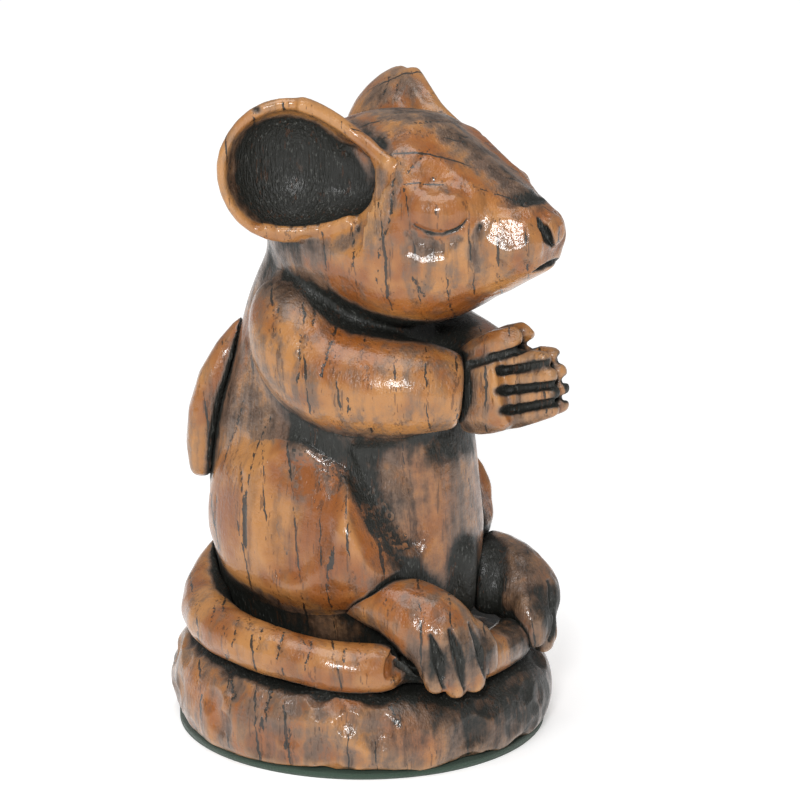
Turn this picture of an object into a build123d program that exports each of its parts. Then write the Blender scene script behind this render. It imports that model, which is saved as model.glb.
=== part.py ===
"""A carved mouse at prayer: it sits on a round plinth with its tail round its feet, and its eyes are shut.

Millimetres, +Z up. The mouse faces -Y, so its right side is at -X. The origin is the middle of the
baize's underside. Each carved mass is a solid of its own, cut in flats as a carver blocks it out. It is
cut back by the larger masses that it seats on, so that they meet face to face.
"""

import os
from math import cos, pi, radians, sin, sqrt

from build123d import *

# The plinth, a low mound whose top falls towards the front, and the baize glued under it.
BAIZE_THICKNESS = 0.8
BAIZE_INSET = 0.9
PLINTH_RADIUS = 25.8
PLINTH_HEIGHT = 10.6
PLINTH_CROWN = 0.7
PLINTH_TILT = 3.6

# The torso, a pear that stands on the plinth.
TORSO_HEIGHT = 55.0
TORSO_WIDTH = 30.0
TORSO_DEPTH = 39.0

# The head, which runs forward from the back of the skull to the nose.
HEAD_LENGTH = 42.0
HEAD_WIDTH = 27.0
HEAD_HEIGHT = 26.5
HEAD_REACH_LENGTH = 30.0
MUZZLE_PAD_LENGTH = 10.0
MUZZLE_PAD_THICKNESS = 5.0
MUZZLE_PAD_HEIGHT = 7.6
MUZZLE_PAD_TURN = 27.0
NOSE_WIDTH = 6.4
NOSE_LENGTH = 5.0
NOSE_HEIGHT = 5.2
NOSTRIL_LENGTH = 4.2
NOSTRIL_WIDTH = 1.5
NOSTRIL_LEAN = 22.0
MOUTH_GAP = 0.8
LID_WIDTH = 8.4
LID_HEIGHT = 7.4
LID_THICKNESS = 4.4
LID_TURN = 31.0
LID_TILT = 12.0
LID_GROOVE = 0.9

# The ears, bowls that stand out from the sides of the skull.
EAR_DIAMETER = 19.2
EAR_DEPTH = 8.2
EAR_BOWL_DEPTH = 5.4
EAR_WALL = 1.5
EAR_TURN = 35.0
EAR_SCOOP_LENGTH = 17.0
EAR_SCOOP_DEPTH = 8.4
EAR_SCOOP_HEIGHT = 11.2

# The arms, from the shoulder round to the wrist.
ARM_THICKNESS = 14.0

# The hands, held palm to palm.
PALM_LENGTH = 5.0
HAND_HEIGHT = 10.8
HAND_THICKNESS = 5.0
HAND_RISE = 14.0
HAND_DROP = 0.7
FINGER_LENGTH = 8.1
FINGER_THICKNESS = 2.9
THUMB_LENGTH = 7.6
THUMB_THICKNESS = 4.0
FINGER_COUNT = 4

# The haunches, from the hip down to the knee.
HAUNCH_LENGTH = 26.5
HAUNCH_HEIGHT = 25.0
HAUNCH_THICKNESS = 17.6
HAUNCH_DIP = 12.5
HAUNCH_SPLAY = 8.0

# The feet, which reach over the plinth's edge.
FOOT_LENGTH = 17.5
FOOT_WIDTH = 10.2
FOOT_HEIGHT = 12.5
FOOT_SPACING = 20.0
TOE_THICKNESS = 4.3

# The tail, which leaves the rump and goes round the right side to the front.
TAIL_THICKNESS = 7.2
TAIL_START = 64.0
TAIL_END = 292.0
TAIL_SWING = 78.0
TAIL_LIFT = 12.0

# The wings, leaves folded down on the back.
WING_WIDTH = 9.0
WING_THICKNESS = 3.6
WING_TURN = 24.0

# Flats round a section: on the large masses, on the limbs and on the smallest forms.
BODY_FLAT_COUNT = 28
LIMB_FLAT_COUNT = 16
SMALL_FLAT_COUNT = 8

# How far past a rim its hollow's cut starts, and the turns from flat to flat at a rounded end and along
# the tail.
OVERRUN = 5.0
END_ANGLES = (35.0, 65.0)
TAIL_STEP = 11.5

PLINTH_TOP = BAIZE_THICKNESS + PLINTH_HEIGHT
UP = Vector(0, 0, 1)
BACK = Vector(0, 1, 0)


def section(centre, along, up, half_width, half_up, half_down, flats, fullness=2.0):
    """The corners of a section, square to a direction. A fullness over 2 squares its oval's corners."""
    plane = Plane(origin=centre, x_dir=up.cross(along), z_dir=along)
    corners = []
    for corner in range(flats):
        turn = 2 * pi * (corner + 0.5) / flats
        x, y = cos(turn), sin(turn)
        reach = (abs(x) ** fullness + abs(y) ** fullness) ** (-1 / fullness)
        half_height = half_up if y > 0 else half_down
        corners.append(plane.from_local_coords(Vector(x * reach * half_width, y * reach * half_height, 0)))
    return corners


def flat(*corners):
    """One flat face."""
    return Face(Wire.make_polygon(corners, close=True))


def skin(sections):
    """A solid with flats from each section's corners to the next one's, alike on both sides."""
    faces = [flat(*sections[0]), flat(*sections[-1])]
    for near, far in zip(sections, sections[1:]):
        for i in range(len(near)):
            a, b, c, d = near[i - 1], near[i], far[i], far[i - 1]
            if a.X + b.X + c.X + d.X < 0:
                faces += [flat(a, b, c), flat(a, c, d)]
            else:
                faces += [flat(b, c, d), flat(b, d, a)]
    return Solid(Shell(faces))


# What the four stations round a gap each give to the one put in its middle.
GAP_SHARES = (-0.0625, 0.5625, 0.5625, -0.0625)


def smoothed(stations):
    """The stations with one more in each gap, on the smooth curve through the four around it."""
    rows = [tuple(Vector(*row[0])) + row[1:] for row in stations]
    rows = [rows[0], *rows, rows[-1]]
    dense = [stations[0]]
    for four in zip(rows, rows[1:], rows[2:], rows[3:]):
        middle = [sum(share * value for share, value in zip(GAP_SHARES, values)) for values in zip(*four)]
        for row in (middle, four[2]):
            dense.append((Vector(*row[:3]), *row[3:]))
    return dense


def rounded(stations, start=0.0, end=0.0):
    """The stations with more beyond them, which close each end as a quarter of a circle does."""
    first, last = stations[0], stations[-1]
    start_way = (first[0] - stations[1][0]).normalized() * start
    end_way = (last[0] - stations[-2][0]).normalized() * end
    before, after = [], []
    for angle in END_ANGLES:
        reach, size = sin(radians(angle)), cos(radians(angle))
        if start:
            before.insert(0, (first[0] + start_way * reach, *(half * size for half in first[1:])))
        if end:
            after.append((last[0] + end_way * reach, *(half * size for half in last[1:])))
    return [*before, *stations, *after]


def carved(stations, up, flats=LIMB_FLAT_COUNT, fullness=2.0):
    """A solid cut in flats through stations: (centre, half width, half height up, half height down)."""
    sections = []
    for i, (centre, *halves) in enumerate(stations):
        along = stations[min(i + 1, len(stations) - 1)][0] - stations[max(i - 1, 0)][0]
        sections.append(section(centre, along.normalized(), up, *halves, flats, fullness))
    return skin(sections)


def limb(points, halves, up, flats, start=0.0, end=0.0):
    """A round limb through points, with a half thickness at each."""
    return carved(rounded([(p, h, h, h) for p, h in zip(points, halves)], start, end), up, flats)


def bead(place, width, depth, height, flats=LIMB_FLAT_COUNT):
    """An oval bead in flats, with its depth along the place's Y axis."""
    half_width, half_depth, half_height = width / 2, depth / 2, height / 2
    tilts = sorted([*END_ANGLES, *(-angle for angle in END_ANGLES), 0.0])
    stations = []
    for tilt in tilts:
        size = cos(radians(tilt))
        centre = BACK * half_depth * sin(radians(tilt))
        stations.append((centre, half_width * size, half_height * size, half_height * size))
    return place * carved(stations, UP, flats)


def cut_back(form, *seats):
    """The form without what its seats fill, as one solid."""
    return max((form - list(seats)).solids(), key=lambda solid: solid.volume)


def right_half(form):
    """The part of a form on the right of the middle plane, where the left one meets it."""
    return split(form, bisect_by=Plane.YZ, keep=Keep.BOTTOM)


def mirrored(form):
    """The same form on the other side of the mouse."""
    return mirror(form, about=Plane.YZ)


def between(a, b, share):
    """The point at a share of the way from one point to another."""
    return a + (b - a) * share


def make_baize():
    """The baize disc, inside the plinth's edge."""
    middle_foot = (Align.CENTER, Align.CENTER, Align.MIN)
    return Cylinder(PLINTH_RADIUS - BAIZE_INSET, BAIZE_THICKNESS, align=middle_foot)


# Height, radius and tilt, as shares of the plinth's height, radius and tilt.
PLINTH_SHARES = (
    (0.00, 0.975, 0.0),
    (0.22, 1.000, 0.0),
    (0.50, 1.000, 0.2),
    (0.75, 0.980, 0.6),
    (0.91, 0.935, 1.0),
    (1.00, 0.870, 1.0),
)
CROWN_SHARE = 0.5


def plinth_top(y):
    """The height of the crown over a place this far back."""
    return PLINTH_TOP + PLINTH_CROWN + y * sin(radians(PLINTH_TILT))


def make_plinth():
    """The mound, in flats all round, drawn in at the foot, with a crown that falls to the front."""
    rows = [(PLINTH_HEIGHT * height, PLINTH_RADIUS * size, tilt) for height, size, tilt in PLINTH_SHARES]
    rows.append((PLINTH_HEIGHT + PLINTH_CROWN, PLINTH_RADIUS * CROWN_SHARE, 1.0))
    sections = []
    for height, half, tilt in rows:
        lean = radians(PLINTH_TILT * tilt)
        centre, along = UP * (BAIZE_THICKNESS + height), Vector(0, -sin(lean), cos(lean))
        sections.append(section(centre, along, BACK, half, half, half, BODY_FLAT_COUNT))
    return skin(sections)


# Height, how far back the middle is, half width and half depth, as shares of the torso's sizes.
TORSO_SHARES = (
    (0.00, 0.055, 0.43, 0.41),
    (0.09, 0.060, 0.47, 0.45),
    (0.20, 0.065, 0.50, 0.485),
    (0.32, 0.068, 0.505, 0.50),
    (0.43, 0.072, 0.50, 0.495),
    (0.54, 0.078, 0.475, 0.47),
    (0.64, 0.088, 0.44, 0.425),
    (0.74, 0.100, 0.40, 0.365),
    (0.84, 0.105, 0.355, 0.31),
    (0.94, 0.090, 0.31, 0.262),
    (1.03, 0.085, 0.265, 0.235),
    (1.11, 0.070, 0.19, 0.165),
)
TORSO_FULLNESS = 2.1


def torso_point(side_share, back_share, height_share):
    """A point by the torso: to the right, to the back and up from the plinth, as shares of its sizes."""
    height = PLINTH_TOP + TORSO_HEIGHT * height_share
    return Vector(-TORSO_WIDTH * side_share, TORSO_DEPTH * back_share, height)


def make_torso(plinth):
    """The pear-shaped torso, seated on the plinth's crown."""
    stations = []
    for height, back, wide, deep in TORSO_SHARES:
        half_depth = TORSO_DEPTH * deep
        stations.append((torso_point(0, back, height), TORSO_WIDTH * wide, half_depth, half_depth))
    return cut_back(carved(smoothed(stations), BACK, BODY_FLAT_COUNT, TORSO_FULLNESS), plinth)


# Distance back from the nose, height of the middle, half width, half height up and down, as shares of
# the head's sizes.
HEAD_SHARES = (
    (0.955, 0.465, 0.280, 0.300, 0.280),
    (0.860, 0.430, 0.400, 0.450, 0.400),
    (0.720, 0.390, 0.470, 0.566, 0.450),
    (0.580, 0.370, 0.496, 0.600, 0.450),
    (0.465, 0.362, 0.496, 0.596, 0.445),
    (0.360, 0.362, 0.452, 0.545, 0.385),
    (0.280, 0.374, 0.378, 0.475, 0.305),
    (0.200, 0.390, 0.304, 0.355, 0.260),
    (0.116, 0.400, 0.230, 0.250, 0.196),
    (0.047, 0.410, 0.170, 0.166, 0.147),
)
HEAD_FULLNESS = 2.2
HEAD_END_SHARES = (0.045, 0.02)
HEAD_SEAT_SHARE = 0.86
NOSE_PLACE_SHARES = (0.05, 0.0, 0.46)
PAD_PLACE_SHARES = (0.125, 0.165, 0.42)
NOSTRIL_PLACE_SHARES = (0.01, 0.092, 0.455)
MOUTH_PLACE_SHARES = ((0.04, 0.13, 0.295), (0.0, 0.08, 0.31), (-0.015, 0.0, 0.325))
LID_PLACE_SHARES = (0.308, 0.312, 0.545)
LID_LINE_SHARES = (0.85, 0.55)
LID_LINE_TURNS = (0, 30, 60, 90, 120, 150, 180)


def head_point(back_share, side_share, height_share):
    """A point by the head: back from the nose, to the right and up from the jaw, as shares of its sizes."""
    jaw = PLINTH_TOP + TORSO_HEIGHT * HEAD_SEAT_SHARE
    ahead = HEAD_LENGTH * back_share - HEAD_REACH_LENGTH
    return Vector(-HEAD_WIDTH * side_share, ahead, jaw + HEAD_HEIGHT * height_share)


def lid_place():
    """The right lid's place, with its X axis straight out of the face."""
    return Pos(head_point(*LID_PLACE_SHARES)) * Rot(0, 0, 180 + LID_TURN) * Rot(0, -LID_TILT, 0)


def make_lid_groove():
    """The crescent cut under the right lid, where it closes."""
    reach, drop = LID_LINE_SHARES
    points = []
    for turn in LID_LINE_TURNS:
        across = reach * cos(radians(turn))
        down = drop * sin(radians(turn))
        out = sqrt(1 - across**2 - down**2)
        corner = Pos(out * LID_THICKNESS / 2, across * LID_WIDTH / 2, -down * LID_HEIGHT / 2)
        points.append((lid_place() * corner).position)
    return limb(points, [LID_GROOVE / 2] * len(points), UP, SMALL_FLAT_COUNT)


def make_mouth():
    """The slit of the mouth, round the front of the muzzle."""
    points = [head_point(*place) for place in MOUTH_PLACE_SHARES]
    points += [Vector(-p.X, p.Y, p.Z) for p in reversed(points[:-1])]
    return limb(points, [MOUTH_GAP / 2] * len(points), UP, SMALL_FLAT_COUNT)


def make_head(torso, ear, ear_hollow):
    """The head: skull and muzzle, with nose, muzzle pads and lids raised and nostrils, mouth and lids cut.

    Its sides are let in for the ears, whose bowls are cut on into the skull in front of them.
    """
    stations = [
        (head_point(back, 0, height), HEAD_WIDTH * wide, HEAD_HEIGHT * up, HEAD_HEIGHT * down)
        for back, height, wide, up, down in HEAD_SHARES
    ]
    skull_end, nose_end = (HEAD_LENGTH * share for share in HEAD_END_SHARES)
    skull = carved(rounded(smoothed(stations), skull_end, nose_end), UP, BODY_FLAT_COUNT, HEAD_FULLNESS)
    nose = bead(Pos(head_point(*NOSE_PLACE_SHARES)), NOSE_WIDTH, NOSE_LENGTH, NOSE_HEIGHT)
    pad_place = Pos(head_point(*PAD_PLACE_SHARES)) * Rot(0, 0, MUZZLE_PAD_TURN)
    pad = bead(pad_place, MUZZLE_PAD_THICKNESS, MUZZLE_PAD_LENGTH, MUZZLE_PAD_HEIGHT)
    lid = bead(lid_place(), LID_THICKNESS, LID_WIDTH, LID_HEIGHT)
    nostril_place = Pos(head_point(*NOSTRIL_PLACE_SHARES)) * Rot(-NOSTRIL_LEAN, 0, 0)
    nostril = bead(nostril_place, NOSTRIL_WIDTH, NOSTRIL_WIDTH, NOSTRIL_LENGTH, SMALL_FLAT_COUNT)
    head = skull + [nose, pad, mirrored(pad), lid, mirrored(lid)]
    cuts = [nostril, make_lid_groove(), ear, ear_hollow]
    return cut_back(head, *cuts, *(mirrored(cut) for cut in cuts), make_mouth(), torso)


# Depth behind the rim and radius, as shares of the ear's depth and outer radius, then of the bowl's.
EAR_SHARES = ((1.00, 0.22), (0.85, 0.42), (0.66, 0.62), (0.45, 0.79), (0.25, 0.91), (0.00, 1.00))
BOWL_SHARES = ((1.00, 0.20), (0.86, 0.50), (0.62, 0.77), (0.32, 0.93), (0.00, 1.00))
RIM_SHARES = (0.5, 0.25)
SCOOP_PLACE_SHARES = (0.50, 0.02, 0.11)
EAR_PLACE_SHARES = (0.765, 0.505, 0.712)


def ear_place():
    """The place of the middle of the right ear's rim, with its Y axis straight out of the bowl."""
    return Pos(head_point(*EAR_PLACE_SHARES)) * Rot(0, 0, 90 + EAR_TURN)


def make_ear_form(depth, radius, shares, *rim):
    """A round form behind the right ear's rim, with rim sections (distance out, radius) past it."""
    rows = [(-depth * deep, radius * size) for deep, size in shares]
    rows.extend(rim)
    stations = [(BACK * out, half, half, half) for out, half in rows]
    return ear_place() * carved(stations, UP, BODY_FLAT_COUNT)


def make_ear():
    """The right ear, still solid, and the hollow that makes it a bowl open to the front.

    The rim is chamfered inside and out, and scooped away where the bowl runs on into the side of the skull.
    """
    outer, inner = EAR_DIAMETER / 2, EAR_DIAMETER / 2 - EAR_WALL
    lip, chamfer = (EAR_WALL * share for share in RIM_SHARES)
    form = make_ear_form(EAR_DEPTH, outer, EAR_SHARES, (lip, outer - chamfer))
    mouth = ((lip, inner + chamfer), (lip + OVERRUN, inner + OVERRUN))
    ahead, out, down = (EAR_DIAMETER / 2 * share for share in SCOOP_PLACE_SHARES)
    place = ear_place() * Pos(-ahead, out, -down)
    scoop = bead(place, EAR_SCOOP_LENGTH, EAR_SCOOP_DEPTH, EAR_SCOOP_HEIGHT)
    return form, make_ear_form(EAR_BOWL_DEPTH, inner, BOWL_SHARES, *mouth) + scoop


# The arm's path from the shoulder to the wrist by the torso, then its half thickness as a share of the
# arm's.
ARM_SHARES = (
    (0.225, 0.165, 0.850, 0.400),
    (0.290, 0.130, 0.828, 0.440),
    (0.335, 0.090, 0.788, 0.485),
    (0.345, 0.022, 0.739, 0.505),
    (0.342, -0.078, 0.702, 0.510),
    (0.295, -0.222, 0.696, 0.485),
    (0.220, -0.360, 0.691, 0.430),
    (0.135, -0.460, 0.684, 0.355),
)


def make_arm(*seats):
    """The right arm, a bent limb cut square at the wrist and flat where the left one meets it."""
    points = [torso_point(*row[:3]) for row in ARM_SHARES]
    halves = [ARM_THICKNESS * row[3] for row in ARM_SHARES]
    arm = carved(smoothed([(p, h, h, h) for p, h in zip(points, halves)]), UP)
    return cut_back(right_half(arm), *seats)


# Along the palm from the wrist, then half height and half thickness, as shares of the hand's sizes.
PALM_SHARES = (
    (-0.20, 0.46, 0.46),
    (0.20, 0.50, 0.50),
    (0.60, 0.50, 0.53),
    (0.95, 0.48, 0.50),
    (1.20, 0.42, 0.38),
)
PALM_FULLNESS = 2.6
FINGER_JOINT_SHARES = (-0.15, 0.12, 0.50, 0.85)
FINGER_SIZE_SHARES = (0.42, 0.50, 0.47, 0.41)
FINGER_LENGTH_SHARES = (0.92, 1.00, 1.02, 0.96)
FINGER_PINCH_SHARE = 0.24
THUMB_START_SHARES = (0.05, 0.43)
THUMB_JOINT_SHARES = (0.0, 0.35, 0.70, 1.0)
THUMB_SIZE_SHARES = (0.40, 0.52, 0.50, 0.38)


def hand_point(ahead, up, out):
    """A point in the right hand: ahead of the wrist, up across the fingers and out from the palm."""
    wrist = torso_point(0, *ARM_SHARES[-1][1:3])
    rise = radians(HAND_RISE)
    level = cos(rise) * up + sin(rise) * ahead - HAND_DROP
    return wrist + Vector(-out, sin(rise) * up - cos(rise) * ahead, level)


def make_hand(arm):
    """The right hand: a palm, four fingers stacked one on the next and a thumb along the top."""
    stations = []
    for along, tall, thick in PALM_SHARES:
        centre = hand_point(PALM_LENGTH * along, 0, HAND_THICKNESS / 2)
        stations.append((centre, HAND_THICKNESS * thick, HAND_HEIGHT * tall, HAND_HEIGHT * tall))
    fingers = []
    pitch = HAND_HEIGHT / FINGER_COUNT
    halves = [FINGER_THICKNESS * share for share in FINGER_SIZE_SHARES]
    for finger in range(FINGER_COUNT):
        level = pitch * (finger + 0.5) - HAND_HEIGHT / 2
        length = FINGER_LENGTH * FINGER_LENGTH_SHARES[finger]
        joints = []
        for share in FINGER_JOINT_SHARES:
            drawn_in = level * (1 - FINGER_PINCH_SHARE * share)
            joints.append(hand_point(PALM_LENGTH + length * share, drawn_in, halves[0]))
        fingers.append(limb(joints, halves, UP, SMALL_FLAT_COUNT, end=halves[-1]))
    ahead, up = THUMB_START_SHARES
    halves = [THUMB_THICKNESS * share for share in THUMB_SIZE_SHARES]
    joints = []
    for share in THUMB_JOINT_SHARES:
        climb = HAND_HEIGHT * up + THUMB_THICKNESS * share / 2
        joints.append(hand_point(PALM_LENGTH * ahead + THUMB_LENGTH * share, climb, halves[0]))
    thumb = limb(joints, halves, UP, SMALL_FLAT_COUNT, end=halves[-1])
    hand = carved(stations, UP, LIMB_FLAT_COUNT, PALM_FULLNESS) + [*fingers, thumb]
    return cut_back(right_half(hand), arm)


# Along the haunch from the hip, then half thickness, half height up and down, as shares of the haunch's
# sizes.
HAUNCH_SHARES = (
    (0.00, 0.38, 0.36, 0.40),
    (0.18, 0.48, 0.51, 0.52),
    (0.40, 0.50, 0.59, 0.52),
    (0.60, 0.49, 0.53, 0.45),
    (0.80, 0.43, 0.40, 0.35),
    (0.93, 0.34, 0.28, 0.25),
    (1.00, 0.24, 0.18, 0.18),
)
HIP_SHARES = (0.255, 0.347, 0.365)
HAUNCH_END_SHARES = (0.14, 0.03)
HAUNCH_FULLNESS = 2.4


def make_haunch(*seats):
    """The right haunch, broad at the hip and drawn in to the knee."""
    dip, splay = radians(HAUNCH_DIP), radians(HAUNCH_SPLAY)
    way = Vector(-sin(splay) * cos(dip), -cos(splay) * cos(dip), -sin(dip)) * HAUNCH_LENGTH
    hip = torso_point(*HIP_SHARES)
    stations = [
        (hip + way * along, HAUNCH_THICKNESS * wide, HAUNCH_HEIGHT * up, HAUNCH_HEIGHT * down)
        for along, wide, up, down in HAUNCH_SHARES
    ]
    hip_end, knee_end = (HAUNCH_LENGTH * share for share in HAUNCH_END_SHARES)
    haunch = carved(rounded(smoothed(stations), hip_end, knee_end), UP, LIMB_FLAT_COUNT, HAUNCH_FULLNESS)
    return cut_back(haunch, *seats)


# The foot's middle line and half sizes, as shares of its own sizes: ahead, outward, up, half width and
# half height.
FOOT_SHARES = (
    (0.06, 0.20, 0.76, 0.26, 0.19),
    (0.27, 0.20, 0.77, 0.37, 0.27),
    (0.48, 0.16, 0.74, 0.46, 0.36),
    (0.68, 0.09, 0.61, 0.51, 0.42),
    (0.82, 0.01, 0.46, 0.49, 0.38),
    (0.91, -0.05, 0.32, 0.40, 0.28),
)
FOOT_START_SHARE = -0.140
FOOT_END_SHARES = (0.10, 0.08)
TOE_ROOT_SHARES = ((0.60, 0.31, 0.62), (0.72, 0.15, 0.76), (0.79, -0.05, 0.75), (0.79, -0.26, 0.62))
TOE_TIP_SHARES = ((0.86, 0.40, 0.10), (0.95, 0.16, 0.02), (1.01, -0.10, 0.04), (1.03, -0.37, 0.17))
TOE_SIZE_SHARES = (0.38, 0.50, 0.50, 0.39)
KNUCKLE_SHARES = (0.6, 0.3)


def foot_point(ahead_share, out_share, up_share):
    """A point by the right foot, as shares of its sizes from the ankle."""
    return Vector(
        -FOOT_SPACING / 2 - FOOT_WIDTH * out_share,
        TORSO_DEPTH * FOOT_START_SHARE - FOOT_LENGTH * ahead_share,
        PLINTH_TOP + FOOT_HEIGHT * up_share,
    )


def make_toe(root, tip):
    """One toe, arched forward of the straight line from its root to its tip."""
    halves = [TOE_THICKNESS * share for share in TOE_SIZE_SHARES]
    knuckle = between(root, tip, 0.5) - BACK * halves[0]
    before, after = KNUCKLE_SHARES
    joints = [root, between(root, knuckle, before), between(knuckle, tip, after), tip]
    return limb(joints, halves, BACK, SMALL_FLAT_COUNT, end=halves[-1])


def make_foot(*seats):
    """The right foot, with its toes fanned down over the plinth's edge."""
    stations = []
    for *place, wide, tall in FOOT_SHARES:
        stations.append((foot_point(*place), FOOT_WIDTH * wide, FOOT_HEIGHT * tall, FOOT_HEIGHT * tall))
    toes = []
    for root, tip in zip(TOE_ROOT_SHARES, TOE_TIP_SHARES):
        toes.append(make_toe(foot_point(*root), foot_point(*tip)))
    heel_end, front_end = (FOOT_LENGTH * share for share in FOOT_END_SHARES)
    foot = carved(rounded(smoothed(stations), heel_end, front_end), UP) + toes
    return cut_back(foot, *seats)


TAIL_ROOT_SHARE = 0.70
TAIL_SIZE_SHARES = (0.54, 0.40)
TAIL_SINK_SHARE = 0.08
TAIL_REACH_SHARE = 0.965


def make_tail(*seats):
    """The tail: it comes down from the rump, swings out to the plinth's edge and lies along it."""
    steps = round((TAIL_END - TAIL_START) / TAIL_STEP)
    first, last = TAIL_SIZE_SHARES
    points, halves = [], []
    for step in range(steps + 1):
        share = step / steps
        turn = TAIL_START + (TAIL_END - TAIL_START) * share
        half = TAIL_THICKNESS * (first + (last - first) * share)
        swing = min((turn - TAIL_START) / TAIL_SWING, 1.0)
        reach = TAIL_ROOT_SHARE + (1 - TAIL_ROOT_SHARE) * sin(swing * pi / 2)
        radius = (PLINTH_RADIUS * TAIL_REACH_SHARE - TAIL_THICKNESS / 2) * reach
        x, y = radius * cos(radians(turn)), radius * sin(radians(turn))
        height = plinth_top(y) + half - TAIL_THICKNESS * TAIL_SINK_SHARE + TAIL_LIFT * (1 - swing) ** 2
        points.append(Vector(x, y, height))
        halves.append(half)
    return cut_back(limb(points, halves, UP, LIMB_FLAT_COUNT, end=halves[-1]), *seats)


# The wing's path down the back by the torso, then half width and half thickness as shares of the wing's.
WING_SHARES = (
    (0.150, 0.415, 0.755, 0.26, 0.40),
    (0.180, 0.460, 0.705, 0.42, 0.47),
    (0.220, 0.505, 0.635, 0.50, 0.50),
    (0.250, 0.530, 0.555, 0.50, 0.50),
    (0.265, 0.538, 0.475, 0.45, 0.47),
    (0.270, 0.532, 0.410, 0.36, 0.40),
)
WING_FULLNESS = 2.4


def make_wing(torso):
    """The right wing, a leaf folded down the back."""
    turn = radians(WING_TURN)
    outward = Vector(-sin(turn), cos(turn), 0)
    stations = []
    for *place, wide, thick in WING_SHARES:
        stations.append((torso_point(*place), WING_WIDTH * wide, WING_THICKNESS * thick, WING_THICKNESS))
    end = stations[-1][1] / 2
    return cut_back(carved(rounded(stations, end, end), outward, LIMB_FLAT_COUNT, WING_FULLNESS), torso)


def main():
    plinth = make_plinth()
    torso = make_torso(plinth)
    ear, ear_hollow = make_ear()
    head = make_head(torso, ear, ear_hollow)
    haunch = make_haunch(torso, plinth)
    arm = make_arm(torso, head, haunch)
    foot = make_foot(haunch, torso, plinth)
    pairs = {
        "haunch": haunch,
        "arm": arm,
        "hand": make_hand(arm),
        "foot": foot,
        "ear": cut_back(ear, ear_hollow),
        "wing": make_wing(torso),
    }
    tail = make_tail(plinth, torso, haunch, foot, mirrored(haunch), mirrored(foot))
    pieces = {"baize_pad": make_baize(), "plinth": plinth, "torso": torso, "head": head, "tail": tail}
    for name, piece in pairs.items():
        pieces[f"right_{name}"] = piece
        pieces[f"left_{name}"] = mirrored(piece)
    os.makedirs("parts", exist_ok=True)
    for name, piece in pieces.items():
        export_step(piece, f"parts/{name}.step")


main()
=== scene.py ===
"""A carved oak mouse at prayer, stained and waxed, on a low round plinth with baize under it.

Metres, +Z up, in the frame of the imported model. The mouse faces -Y, so its right side is at -X.
Sizes here are written in millimetres and times MM.
"""

from math import cos, radians, sin

import bpy
import numpy as np
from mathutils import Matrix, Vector, noise
from mathutils.bvhtree import BVHTree


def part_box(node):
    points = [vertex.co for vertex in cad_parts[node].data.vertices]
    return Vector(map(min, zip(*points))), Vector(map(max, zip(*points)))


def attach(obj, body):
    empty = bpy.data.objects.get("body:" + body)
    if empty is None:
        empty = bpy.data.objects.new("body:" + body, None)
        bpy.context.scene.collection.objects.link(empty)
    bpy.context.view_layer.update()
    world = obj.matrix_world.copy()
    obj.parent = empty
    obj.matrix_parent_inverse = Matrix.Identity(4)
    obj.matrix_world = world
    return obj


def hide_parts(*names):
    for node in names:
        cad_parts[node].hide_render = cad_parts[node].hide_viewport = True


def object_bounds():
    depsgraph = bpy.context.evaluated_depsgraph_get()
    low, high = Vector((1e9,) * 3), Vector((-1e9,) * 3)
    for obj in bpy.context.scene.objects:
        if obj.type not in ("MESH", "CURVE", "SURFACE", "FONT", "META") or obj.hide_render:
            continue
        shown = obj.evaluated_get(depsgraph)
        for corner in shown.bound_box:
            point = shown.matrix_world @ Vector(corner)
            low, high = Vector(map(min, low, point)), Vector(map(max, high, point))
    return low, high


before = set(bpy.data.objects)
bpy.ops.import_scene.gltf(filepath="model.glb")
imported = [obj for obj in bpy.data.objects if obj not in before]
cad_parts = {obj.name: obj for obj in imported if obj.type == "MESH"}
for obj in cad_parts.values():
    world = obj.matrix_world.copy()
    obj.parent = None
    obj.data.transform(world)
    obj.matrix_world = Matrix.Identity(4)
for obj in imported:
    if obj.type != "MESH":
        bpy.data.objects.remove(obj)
cad_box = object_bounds()

MM = 0.001

# The camera: where it looks, from how far, and where that place lands in the picture.
PICTURE = 800
CAMERA_TARGET = Vector((0, 0, 47)) * MM
CAMERA_AZIMUTH = -57.0
CAMERA_ELEVATION = 15.5
CAMERA_DISTANCE = 450 * MM
FOCAL_PIXELS = 3375
TARGET_PIXEL = (362, 380)
SENSOR = 36.0


def camera_axes():
    """The directions to the camera, to its right and up its picture."""
    azimuth, elevation = radians(CAMERA_AZIMUTH), radians(CAMERA_ELEVATION)
    toward = Vector((sin(azimuth) * cos(elevation), -cos(azimuth) * cos(elevation), sin(elevation)))
    right = Vector((cos(azimuth), sin(azimuth), 0))
    return toward, right, toward.cross(right)


def make_camera():
    """The camera, level, with its picture shifted as the photograph's is."""
    toward = camera_axes()[0]
    bpy.ops.object.camera_add(location=CAMERA_TARGET + toward * CAMERA_DISTANCE)
    camera = bpy.context.object
    camera.rotation_euler = toward.to_track_quat("Z", "Y").to_euler()
    camera.data.sensor_width = SENSOR
    camera.data.lens = FOCAL_PIXELS / PICTURE * SENSOR
    camera.data.shift_x = (PICTURE / 2 - TARGET_PIXEL[0]) / PICTURE
    camera.data.shift_y = (TARGET_PIXEL[1] - PICTURE / 2) / PICTURE
    camera.data.clip_start = 10 * MM
    bpy.context.scene.camera = camera


def pixel_ray(pixel):
    """Where the line of sight through a pixel of the picture starts, and its direction."""
    toward, right, up = camera_axes()
    across = (pixel[0] - TARGET_PIXEL[0]) / FOCAL_PIXELS
    down = (pixel[1] - TARGET_PIXEL[1]) / FOCAL_PIXELS
    sight = (right * across - up * down - toward).normalized()
    return CAMERA_TARGET + toward * CAMERA_DISTANCE, sight


# Shaping.

# Vertices this near are one.
MERGE_GAP = 0.001 * MM
# How much of the way to its neighbours' middle a vertex goes in one round of easing.
EASE = 0.5
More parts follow.
